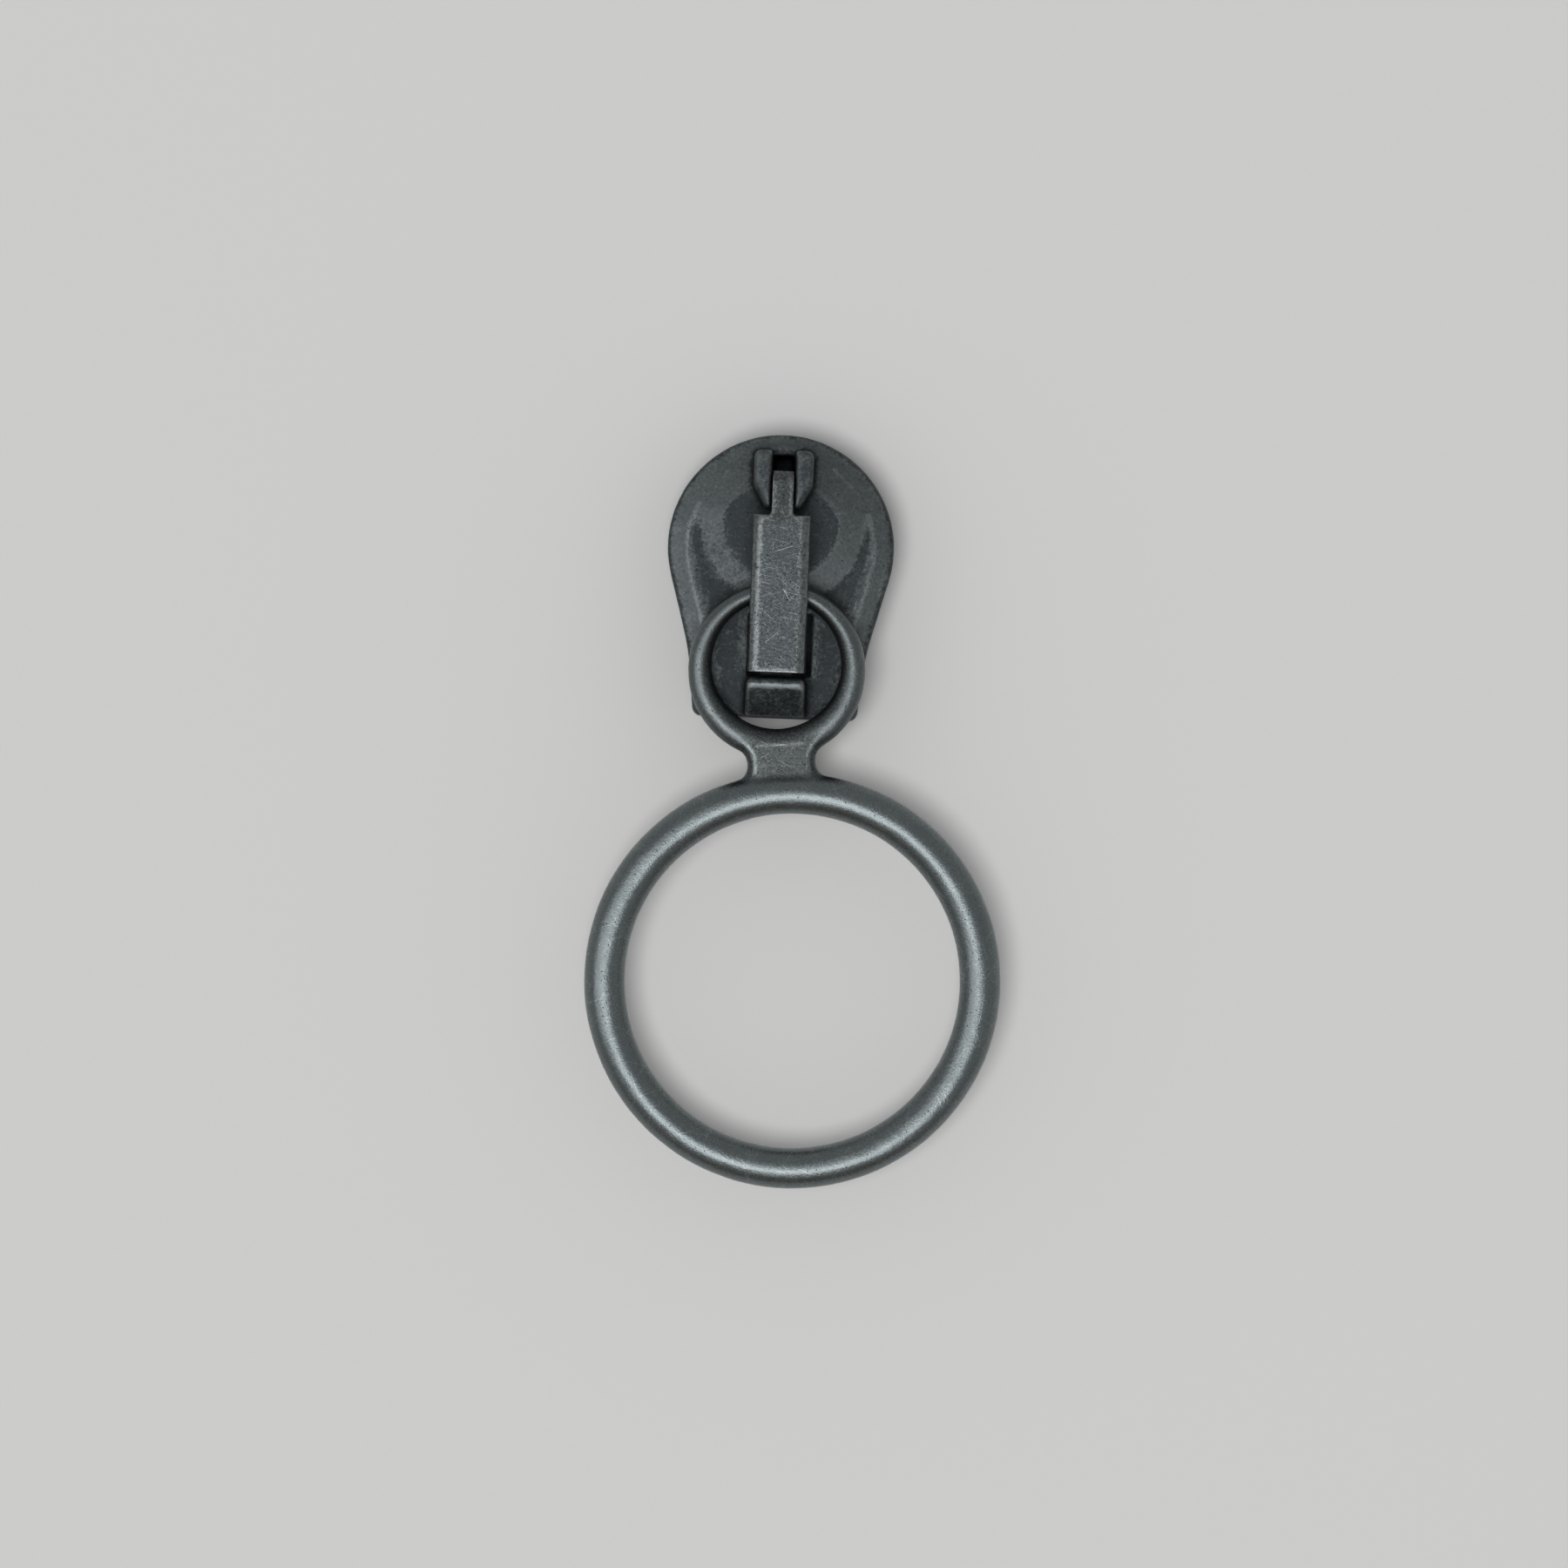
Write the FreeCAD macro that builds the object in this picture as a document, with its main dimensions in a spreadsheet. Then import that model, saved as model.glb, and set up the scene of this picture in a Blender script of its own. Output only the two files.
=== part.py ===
import FreeCAD, Part
import Sketcher
import math
import os
from collections import namedtuple

# Zip slider with a ring puller: a cast body that runs on the chain, a spring steel strip
# that locks it, and a cast puller with two rings that the strip holds down.
# Origin: middle of the body's underside. +X across, +Y towards the nose, +Z up. Millimetres.

DIMENSIONS = [
    ("body_length", 13.7, "nose to tail of the casting"),
    ("head_radius", 5.47, "round nose of both blades, seen from above"),
    ("flank_angle", 15.5, "lean of the straight flank behind the shoulder, degrees"),
    ("waist_length", 2.2, "length of the hollow curve between flank and tail"),
    ("tail_straight", 2.03, "straight sides behind that curve"),
    ("tail_angle", 5.5, "lean of the sides at the tail, degrees"),
    ("tail_corner", 0.42, "corner radius at the tail"),
    ("lower_blade", 1.15, "thickness of the lower blade"),
    ("channel_height", 2.3, "height of the channel for the chain"),
    ("upper_blade", 1.25, "thickness of the upper blade at its flat"),
    ("flange_wall", 0.86, "thickness of the side flanges"),
    ("flange_front", 0.9, "where the flanges end, behind the centre of the head"),
    ("tape_slot", 1.0, "slot in each side for the tape"),
    ("tape_bite", 0.2, "how far the slot cut overlaps the channel"),
    ("post_radius", 1.9, "round front of the post between the two mouths"),
    ("post_front", 0.5, "post set back from the nose"),
    ("post_length", 5.3, "front to rear tip of the post"),
    ("rim_width", 1.05, "width of the sloping rim of the upper blade"),
    ("rim_drop", 0.3, "how far the rim slopes down"),
    ("disc_back", 4.25, "centre of the raised disc, behind the nose"),
    ("disc_radius", 2.74, "flat top of the raised disc"),
    ("disc_slope", 1.34, "width of the slope round the disc"),
    ("disc_rise", 0.35, "height of the disc over the flat of the blade"),
    ("lower_edge", 0.12, "bevel round the underside"),
    ("slot_width", 1.14, "slot between the two ears of the front lug"),
    ("ear_thickness", 0.87, "one ear of the front lug"),
    ("ear_front", 0.8, "front of the ears, behind the nose"),
    ("ear_side", 1.72, "straight outer side of an ear"),
    ("ear_length", 2.78, "front to rear tip of an ear"),
    ("ear_tip", 0.26, "blunt rear tip of an ear"),
    ("ear_corner", 0.3, "outer front corner of an ear"),
    ("ear_below_strip", 0.15, "top of the ears under the top of the strip"),
    ("ear_bevel", 0.24, "bevel of the ears' slanting upper edges"),
    ("ear_edge", 0.1, "bevel of their other upper edges"),
    ("window_front", 1.01, "front wall of the anchor pocket, behind the nose"),
    ("window_length", 1.6, "length of the anchor pocket"),
    ("window_width", 1.06, "width of the anchor pocket"),
    ("window_depth", 1.5, "depth of the anchor pocket under the blade's flat"),
    ("shelf_length", 0.27, "ledge in the rim, in front of the anchor pocket"),
    ("shelf_width", 1.2, "that ledge, across"),
    ("shelf_depth", 0.12, "that ledge under the blade's flat"),
    ("pawl_window_width", 3.06, "opening under the strip that the pawl passes through"),
    ("pawl_window_length", 3.05, "length of that opening"),
    ("window_ledge", 0.05, "that opening to the foot of the rear lug"),
    ("window_shift", 0.11, "that opening lies this much off the middle"),
    ("block_width", 2.87, "rear lug, across"),
    ("block_length", 1.87, "rear lug, front to rear"),
    ("block_from_tail", 0.1, "rear lug, set in from the tail"),
    ("block_height", 2.02, "rear lug, over the blade's flat"),
    ("block_flat", 0.28, "flat top in front of its crown"),
    ("block_edge", 0.22, "rounding of its upper edges"),
    ("block_crown", 1.1, "radius of its crown"),
    ("block_slope", 52.0, "slope of its rear face, degrees"),
    ("block_corner", 0.34, "its upright front corners"),
    ("strip_width", 2.8, "the lock strip, across"),
    ("strip_setback", 0.35, "the strip's shoulder behind the tips of the ears"),
    ("strip_height", 0.75, "the strip's channel section, over all"),
    ("strip_sheet", 0.42, "thickness of the spring steel"),
    ("strip_shoulder", 0.5, "outer radius of its long edges"),
    ("strip_gap", 0.34, "rear end of the strip to the rear lug"),
    ("tongue_width", 1.02, "the tongue that lies between the ears"),
    ("tongue_length", 2.14, "the tongue, in front of the strip's shoulder"),
    ("tongue_root", 0.2, "radius where the tongue leaves the shoulder"),
    ("tongue_leg", 3.8, "depth of the tongue's turned down end"),
    ("tongue_bend", 0.62, "outer radius of that bend"),
    ("pawl_width", 1.5, "the pawl at the strip's rear end"),
    ("pawl_bulge", 0.12, "how far the pawl's bend stands past the strip"),
    ("pawl_lean", 0.24, "how far the pawl leans forward on its way down"),
    ("pawl_bend", 0.55, "outer radius of the pawl's bend"),
    ("pawl_bite", 0.5, "how far the pawl reaches into the channel"),
    ("eye_hole", 3.12, "radius of the hole in the puller's small ring"),
    ("eye_front", 0.87, "wire of the small ring where the strip holds it"),
    ("eye_rear", 1.45, "wire of the small ring at the neck"),
    ("eye_thickness", 1.2, "thickness of the small ring and the neck"),
    ("eye_bevel", 0.34, "bevel of the small ring's and the neck's edges"),
    ("neck_fillet", 0.87, "hollow radius each side of the neck"),
    ("ring_outer", 10.07, "outer radius of the large ring"),
    ("ring_wire", 1.98, "wire of the large ring"),
    ("neck_gap", 0.695, "between the outer edges of both rings, along the neck"),
    ("ring_overlap", 0.1, "the neck's sides meet the large ring this far inside its edge"),
    ("swing_at_rest", 5.06, "the puller lies this far round to the side, degrees"),
    ("hole_clearance", 0.625, "the small hole reaches this far behind the rear lug"),
    ("wire_clearance", 0.08, "small ring over the slope of the disc"),
    ("tail_clearance", 0.08, "small ring over the tail of the blade"),
    ("strip_clearance", 0.22, "small ring under the strip"),
    ("margin", 1.0, "how far a cut starts outside the metal"),
]

doc = FreeCAD.newDocument("zip_slider")
sheet = doc.addObject("Spreadsheet::Sheet", "sizes")
for row, (alias, number, meaning) in enumerate(DIMENSIONS, start=1):
    sheet.set(f"A{row}", meaning)
    sheet.set(f"B{row}", str(number))
    sheet.setAlias(f"B{row}", alias)
doc.recompute()


class Size:
    """A length or angle that knows both its number and the sheet expression behind it."""

    def __init__(self, number, text):
        self.number = number
        self.text = text

    @staticmethod
    def of(other):
        return other if isinstance(other, Size) else Size(float(other), repr(float(other)))

    def join(self, sign, other, number):
        return Size(number, f"({self.text} {sign} {other.text})")

    def __add__(self, other):
        other = Size.of(other)
        return self.join("+", other, self.number + other.number)

    def __sub__(self, other):
        other = Size.of(other)
        return self.join("-", other, self.number - other.number)

    def __mul__(self, other):
        other = Size.of(other)
        return self.join("*", other, self.number * other.number)

    def __truediv__(self, other):
        other = Size.of(other)
        return self.join("/", other, self.number / other.number)

    def __rsub__(self, other):
        return Size.of(other) - self

    def __radd__(self, other):
        return Size.of(other) + self

    def __rmul__(self, other):
        return Size.of(other) * self

    def __neg__(self):
        return Size(-self.number, f"(0 - {self.text})")


def sin(angle):
    return Size(math.sin(math.radians(angle.number)), f"sin({angle.text})")


def cos(angle):
    return Size(math.cos(math.radians(angle.number)), f"cos({angle.text})")


def tan(angle):
    return sin(angle) / cos(angle)


def sqrt(square):
    return Size(math.sqrt(square.number), f"sqrt({square.text})")


def size(alias):
    return Size(float(sheet.get(alias)), f"sizes.{alias}")


def bind(thing, prop, value):
    """Set a property and tie it to the sheet."""
    value = Size.of(value)
    thing.setExpression(prop, value.text)


SKETCH_ORIGIN = (-1, 1)
OTHER_END = {1: 2, 2: 1}
CENTRE_POINT = 3
TOUCHING = 1e-3
NEARLY_ZERO = 1e-9
LEFT, RIGHT = 1, -1
Arc = namedtuple("Arc", "radius turn large", defaults=[False])


def new_body(name):
    body = doc.addObject("PartDesign::Body", name)
    body.Label = name
    return body


def new_sketch(body, name, plane, offset=0.0):
    """A sketch on one of the body's own origin planes, moved along the plane's normal."""
    sketch = body.newObject("Sketcher::SketchObject", name)
    role = {"XY": "XY_Plane", "XZ": "XZ_Plane", "YZ": "YZ_Plane"}[plane]
    support = next(f for f in body.Origin.OriginFeatures if f.Role == role)
    sketch.AttachmentSupport = [(support, "")]
    sketch.MapMode = "FlatFace"
    bind(sketch, "AttachmentOffset.Base.z", offset)
    return sketch


def place_point(sketch, point, x, y):
    """Hold a sketch point at x, y with dimensions tied to the sheet. A point with a zero
    lies on the sketch's own x axis, geometry -1, or on its y axis, geometry -2."""
    for kind, value, axis in (("DistanceX", x, -2), ("DistanceY", y, -1)):
        if abs(value.number) < NEARLY_ZERO:
            sketch.addConstraint(Sketcher.Constraint("PointOnObject", *point, axis))
            continue
        index = sketch.addConstraint(
            Sketcher.Constraint(kind, *SKETCH_ORIGIN, *point, value.number))
        sketch.setExpression(f"Constraints[{index}]", value.text)


def closed_outline(sketch, points, arcs=None):
    """Lines through the points in turn. arcs maps a side's number to the Arc it is: it
    curves to the LEFT or RIGHT of the way along the outline."""
    arcs = arcs or {}
    points = [(Size.of(x), Size.of(y)) for x, y in points]
    ends = [FreeCAD.Vector(x.number, y.number, 0) for x, y in points]
    count = len(points)
    sides = []
    for i in range(count):
        a, b = ends[i], ends[(i + 1) % count]
        if i in arcs:
            sides.append(sketch.addGeometry(arc_between(a, b, arcs[i])))
        else:
            sides.append(sketch.addGeometry(Part.LineSegment(a, b)))
    first = sides[0]
    starts = {i: 1 for i in range(count)}
    for i, arc in arcs.items():
        starts[i] = 1 if arc.turn == LEFT else 2
    for i in range(count):
        after = (i + 1) % count
        sketch.addConstraint(Sketcher.Constraint(
            "Coincident", first + i, OTHER_END[starts[i]], first + after, starts[after]))
    for i, (x, y) in enumerate(points):
        place_point(sketch, (first + i, starts[i]), x, y)
    for i, arc in arcs.items():
        index = sketch.addConstraint(
            Sketcher.Constraint("Radius", first + i, arc.radius.number))
        sketch.setExpression(f"Constraints[{index}]", arc.radius.text)


def arc_between(a, b, arc):
    """The circular arc from a to b, as Part geometry."""
    radius = arc.radius.number
    chord = b - a
    half = chord.Length / 2
    reach = math.sqrt(max(radius * radius - half * half, 0.0))
    if arc.large:
        reach = -reach
    left = FreeCAD.Vector(-chord.y, chord.x, 0).normalize()
    centre = (a + b) * 0.5 + left * (reach * arc.turn)
    middle = (a + b) * 0.5 - left * (arc.turn * (radius - reach))
    angles = [math.atan2(p.y - centre.y, p.x - centre.x) for p in (a, b)]
    if arc.turn == RIGHT:
        angles.reverse()
    while angles[1] < angles[0]:
        angles[1] += 2 * math.pi
    whole = Part.Circle(centre, FreeCAD.Vector(0, 0, 1), radius)
    piece = Part.ArcOfCircle(whole, angles[0], angles[1])
    if piece.toShape().distToShape(Part.Vertex(middle))[0] > TOUCHING:
        raise ValueError("an outline's arc runs the wrong way round")
    return piece


def circle(sketch, x, y, radius):
    x, y = Size.of(x), Size.of(y)
    centre = FreeCAD.Vector(x.number, y.number, 0)
    ring = sketch.addGeometry(Part.Circle(centre, FreeCAD.Vector(0, 0, 1), radius.number))
    place_point(sketch, (ring, CENTRE_POINT), x, y)
    index = sketch.addConstraint(Sketcher.Constraint("Radius", ring, radius.number))
    sketch.setExpression(f"Constraints[{index}]", radius.text)


def rectangle(sketch, low_x, high_x, low_y, high_y):
    closed_outline(sketch, [(low_x, low_y), (high_x, low_y), (high_x, high_y), (low_x, high_y)])


def volume_of(body):
    return body.Shape.Volume if not body.Shape.isNull() else 0.0


def finish_feature(body, feature, sign):
    """Recompute, and stop if the feature did not add (+1) or take away (-1) material."""
    before = body.BaseVolume if hasattr(body, "BaseVolume") else 0.0
    doc.recompute()
    after = volume_of(body)
    if (after - before) * sign <= 0:
        raise ValueError(f"{feature.Name} changed the volume from {before:.3f} to {after:.3f}")
    remember_volume(body, after)
    return feature


def remember_volume(body, volume):
    if not hasattr(body, "BaseVolume"):
        body.addProperty("App::PropertyFloat", "BaseVolume", "Check", "volume so far")
    body.BaseVolume = volume


def pad(body, name, sketch, length, both_ways=False, backwards=False):
    feature = body.newObject("PartDesign::Pad", name)
    feature.Profile = sketch
    feature.Midplane = both_ways
    feature.Reversed = backwards
    bind(feature, "Length", length)
    return finish_feature(body, feature, +1)


def pocket(body, name, sketch, length, upwards=False):
    feature = body.newObject("PartDesign::Pocket", name)
    feature.Profile = sketch
    feature.Reversed = upwards
    bind(feature, "Length", length)
    return finish_feature(body, feature, -1)


def loft(body, name, lower, upper):
    feature = body.newObject("PartDesign::AdditiveLoft", name)
    feature.Profile = lower
    feature.Sections = [upper]
    feature.Ruled = True
    return finish_feature(body, feature, +1)


def turned_cut(body, name, sketch):
    feature = body.newObject("PartDesign::Groove", name)
    feature.Profile = sketch
    feature.ReferenceAxis = (sketch, ["V_Axis"])
    feature.Angle = 360.0
    return finish_feature(body, feature, -1)


def edges_where(body, wanted):
    """Names of the edges of the body's last feature for which wanted(edge) is true."""
    return [f"Edge{i}" for i, edge in enumerate(body.Tip.Shape.Edges, start=1) if wanted(edge)]


def round_edges(body, name, radius, wanted, sign=-1):
    """Fillet the edges that wanted(edge) picks."""
    base = body.Tip
    names = edges_where(body, wanted)
    if not names:
        raise ValueError(f"{name} found no edge to round")
    feature = body.newObject("PartDesign::Fillet", name)
    feature.Base = (base, names)
    bind(feature, "Radius", radius)
    return finish_feature(body, feature, sign)


def bevel_edges(body, name, width, wanted):
    """Chamfer the edges that wanted(edge) picks."""
    base = body.Tip
    names = edges_where(body, wanted)
    if not names:
        raise ValueError(f"{name} found no edge to bevel")
    feature = body.newObject("PartDesign::Chamfer", name)
    feature.Base = (base, names)
    bind(feature, "Size", width)
    return finish_feature(body, feature, -1)


def is_level(edge, height):
    """True for an edge that lies flat at this height."""
    box = edge.BoundBox
    return abs(box.ZMin - height) < TOUCHING and abs(box.ZMax - height) < TOUCHING


def is_slanting(edge):
    """True for a straight edge that runs neither along X nor along Y."""
    box = edge.BoundBox
    straight = edge.Curve.TypeId == "Part::GeomLine"
    return straight and box.XLength > TOUCHING and box.YLength > TOUCHING


def is_upright(edge, x, y):
    """True for a straight edge parallel to Z that stands at x, y."""
    box = edge.BoundBox
    thin = box.XLength < TOUCHING and box.YLength < TOUCHING
    return thin and abs(box.XMin - x) < TOUCHING and abs(box.YMin - y) < TOUCHING


# Levels and places that several pieces share
nose = size("body_length") / 2
tail = -nose
head_centre = nose - size("head_radius")
channel_floor = size("lower_blade")
channel_roof = channel_floor + size("channel_height")
flat_top = channel_roof + size("upper_blade")
disc_top = flat_top + size("disc_rise")
disc_centre = nose - size("disc_back")
flank_end = size("body_length") - size("head_radius") - size("waist_length") - size("tail_straight")
margin = size("margin")

# Both lugs on the upper blade
ear_front = nose - size("ear_front")
ear_rear = ear_front - size("ear_length")
block_rear = tail + size("block_from_tail")
block_front = block_rear + size("block_length")

# Rest of the puller: its small ring lies on the slope of the disc and on the edge of the tail
eye_outer = size("eye_hole") + (size("eye_front") + size("eye_rear")) / 2
eye_shift = (size("eye_rear") - size("eye_front")) / 2
hole_from_wire = size("eye_hole") + size("eye_front") / 2
wire_y = block_rear - size("hole_clearance") + size("eye_hole") + hole_from_wire
ring_distance = eye_outer + eye_shift + size("neck_gap") + size("ring_outer")
ring_centreline = size("ring_outer") - size("ring_wire") / 2
beyond_disc = disc_centre - wire_y - size("eye_front") / 2 - size("disc_radius")
wire_seat = disc_top - size("disc_rise") * beyond_disc / size("disc_slope")
eye_bottom = wire_seat + size("wire_clearance")
wire_z = eye_bottom + size("eye_thickness") / 2
tilt_sine = (eye_bottom - flat_top - size("tail_clearance")) / (wire_y - tail)

# The strip lies just over the trapped wire, between the tips of the ears and the rear lug
strip_bottom = wire_z + size("eye_thickness") / 2 + size("strip_clearance")
strip_top = strip_bottom + size("strip_height")
strip_rear = block_front + size("strip_gap") - size("pawl_bulge")
strip_front = ear_rear - size("strip_setback")
tongue_front = strip_front + size("tongue_length")


def blade_outline(inset, tail_y):
    """Corner points and arcs of the pear-shaped blade, moved in by inset all round but
    for the tail. Runs from the right tail corner over the nose to the left one."""
    lean, tail_lean = size("flank_angle"), size("tail_angle")
    radius = size("head_radius")
    shoulder_x = radius * cos(lean)
    flank_y = head_centre - flank_end
    flank_x = shoulder_x - (flank_end - radius * sin(lean)) * tan(lean)
    waist_radius = size("waist_length") / (sin(lean) - sin(tail_lean))
    middle_x = flank_x + waist_radius * cos(lean)
    middle_y = flank_y - waist_radius * sin(lean)
    small = radius - inset
    large = waist_radius + inset
    waist_x = middle_x - large * cos(tail_lean)
    waist_y = middle_y + large * sin(tail_lean)
    tail_x = waist_x - (waist_y - tail_y) * tan(tail_lean)
    right = [
        (tail_x, tail_y),
        (waist_x, waist_y),
        (flank_x - inset * cos(lean), flank_y + inset * sin(lean)),
        (small * cos(lean), head_centre - small * sin(lean)),
    ]
    left = [(-x, y) for x, y in reversed(right)]
    arcs = {1: Arc(large, RIGHT), 3: Arc(small, LEFT, large=True), 5: Arc(large, RIGHT)}
    return right + left, arcs


def build_slider_body():
    body = new_body("slider_body")
    rim_bottom = flat_top - size("rim_drop")

    # Both blades and what joins them, as one block up to the foot of the sloping rim
    outline = new_sketch(body, "blade_outline", "XY")
    closed_outline(outline, *blade_outline(Size.of(0), tail))
    pad(body, "blades", outline, rim_bottom)

    # The rim slopes in all round but at the tail, up to the level of the raised disc
    roof_height = size("rim_drop") + size("disc_rise")
    roof_inset = size("rim_width") * roof_height / size("rim_drop")
    roof_foot = new_sketch(body, "roof_foot", "XY", rim_bottom)
    closed_outline(roof_foot, *blade_outline(Size.of(0), tail))
    roof_ridge = new_sketch(body, "roof_ridge", "XY", disc_top)
    closed_outline(roof_ridge, *blade_outline(roof_inset, tail))
    loft(body, "roof", roof_foot, roof_ridge)

    # Everything round the raised disc is turned down to the flat of the blade
    beyond = size("body_length")
    around = new_sketch(body, "around_disc", "XZ", -disc_centre)
    closed_outline(around, [
        (size("disc_radius"), disc_top),
        (size("disc_radius") + size("disc_slope"), flat_top),
        (beyond, flat_top),
        (beyond, disc_top + margin),
        (size("disc_radius"), disc_top + margin),
    ])
    turned_cut(body, "disc_slope", around)

    # Both corners at the tail are cut round, through both blades
    tail_x, _ = blade_outline(Size.of(0), tail)[0][0]
    corner, tail_lean = size("tail_corner"), size("tail_angle")
    middle_x = tail_x - corner * (1 - sin(tail_lean)) / cos(tail_lean)
    side_x = middle_x + corner * cos(tail_lean)
    side_y = tail + corner * (1 - sin(tail_lean))
    corners = new_sketch(body, "tail_corners", "XY", disc_top + margin)
    for hand in (LEFT, RIGHT):
        closed_outline(corners, [
            (middle_x * hand, tail),
            (side_x * hand, side_y),
            ((tail_x + margin) * hand, side_y),
            ((tail_x + margin) * hand, tail - margin),
            (middle_x * hand, tail - margin),
        ], {0: Arc(corner, hand)})
    pocket(body, "tail_corner_cut", corners, disc_top + margin + margin)

    # The Y-shaped channel: one way out at the tail, two mouths at the nose, a post between
    side, _ = blade_outline(size("flange_wall"), tail - margin)
    lean = size("flank_angle")
    flange_end = head_centre - size("flange_front")
    shoulder_x, shoulder_y = side[3]
    flange_x = shoulder_x + (shoulder_y - flange_end) * tan(lean)
    wide = size("head_radius") + margin
    waist = blade_outline(size("flange_wall"), tail)[1][1]
    half = [
        side[0],
        side[1],
        side[2],
        (flange_x, flange_end),
        (wide, flange_end),
        (wide, nose + margin),
    ]
    mirrored = [(-x, y) for x, y in reversed(half)]
    channel = new_sketch(body, "channel", "XY", channel_floor)
    closed_outline(channel, half + mirrored, {1: waist, 9: waist})
    post_y = nose - size("post_front") - size("post_radius")
    post_tip = nose - size("post_front") - size("post_length")
    taper_sine = size("post_radius") / (post_y - post_tip)
    taper_cosine = sqrt(1 - taper_sine * taper_sine)
    post_side = (size("post_radius") * taper_cosine, post_y - size("post_radius") * taper_sine)
    closed_outline(channel, [(0, post_tip), post_side, (-post_side[0], post_side[1])],
                   {1: Arc(size("post_radius"), LEFT, large=True)})
    pocket(body, "channel_cut", channel, size("channel_height"), upwards=True)

    # A slot along each side lets the tape out of the channel
    slot_floor = channel_floor + (size("channel_height") - size("tape_slot")) / 2
    slots = new_sketch(body, "tape_slots", "XY", slot_floor)
    slot_in = side[0][0] - size("tape_bite")
    rectangle(slots, slot_in, wide, tail - margin, flange_end + margin)
    rectangle(slots, -wide, -slot_in, tail - margin, flange_end + margin)
    pocket(body, "tape_slot_cut", slots, size("tape_slot"), upwards=True)

    # Front lug: two ears with a slot between them, drawn in to a point at the rear
    inner, outer = size("slot_width") / 2, size("slot_width") / 2 + size("ear_thickness")
    corner = size("ear_corner")
    ear_top = strip_top - size("ear_below_strip")
    ears = new_sketch(body, "ears", "XY", channel_roof + size("upper_blade") / 2)
    for hand in (LEFT, RIGHT):
        points = [
            (inner * hand, ear_rear),
            ((inner + size("ear_tip")) * hand, ear_rear),
            (outer * hand, ear_front - size("ear_side")),
            (outer * hand, ear_front - corner),
            ((outer - corner) * hand, ear_front),
            (inner * hand, ear_front),
        ]
        closed_outline(ears, points, {3: Arc(corner, hand)})
    pad(body, "front_lug", ears, ear_top - channel_roof - size("upper_blade") / 2)
    bevel_edges(body, "ear_bevels", size("ear_bevel"),
                lambda e: is_level(e, ear_top.number) and is_slanting(e))
    bevel_edges(body, "ear_edges", size("ear_edge"),
                lambda e: is_level(e, ear_top.number) and not is_slanting(e))

    # Blind pocket in front of and between the ears, which anchors the tongue
    window_front = nose - size("window_front")
    anchor = new_sketch(body, "anchor_pocket", "XY", disc_top + margin)
    rectangle(anchor, -size("window_width") / 2, size("window_width") / 2,
              window_front - size("window_length"), window_front)
    pocket(body, "anchor_pocket_cut", anchor,
           size("window_depth") + size("disc_rise") + margin)
    shelf = new_sketch(body, "anchor_shelf", "XY", disc_top + margin)
    rectangle(shelf, -size("shelf_width") / 2, size("shelf_width") / 2,
              window_front, window_front + size("shelf_length"))
    pocket(body, "anchor_shelf_cut", shelf,
           size("shelf_depth") + size("disc_rise") + margin)

    # Rear lug: a block with a crowned top that falls away to the rear
    slope, crown = size("block_slope"), size("block_crown")
    crest_y = block_front - size("block_flat")
    block_top = flat_top + size("block_height")
    turn_y = crest_y - crown * sin(slope)
    turn_z = block_top - crown * (1 - cos(slope))
    rear_z = turn_z - (turn_y - block_rear) * tan(slope)
    root = flat_top - size("upper_blade") / 2
    side_view = new_sketch(body, "block_side", "YZ")
    closed_outline(side_view, [
        (block_rear, root), (block_front, root), (block_front, block_top),
        (crest_y, block_top), (turn_y, turn_z), (block_rear, rear_z),
    ], {3: Arc(crown, LEFT)})
    pad(body, "rear_lug", side_view, size("block_width"), both_ways=True)
    half_block = size("block_width") / 2
    round_edges(body, "block_corners", size("block_corner"),
                lambda e: is_upright(e, half_block.number, block_front.number)
                or is_upright(e, -half_block.number, block_front.number))
    round_edges(body, "block_edges", size("block_edge"),
                lambda e: e.BoundBox.ZMin > rear_z.number - TOUCHING and e.BoundBox.YMax < 0
                and (e.BoundBox.YLength > TOUCHING
                     or abs(e.BoundBox.YMax - block_front.number) < TOUCHING))

    # Opening behind the trapped wire, through which the pawl reaches the chain
    pawl_way = new_sketch(body, "pawl_window", "XY", flat_top + margin)
    window_rear = block_front + size("window_ledge")
    window_half = size("pawl_window_width") / 2
    rectangle(pawl_way, size("window_shift") - window_half, size("window_shift") + window_half,
              window_rear, window_rear + size("pawl_window_length"))
    pocket(body, "pawl_window_cut", pawl_way,
           margin + size("upper_blade") + size("window_ledge"))

    bevel_edges(body, "underside_edge", size("lower_edge"), lambda e: is_level(e, 0.0))
    return body


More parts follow.
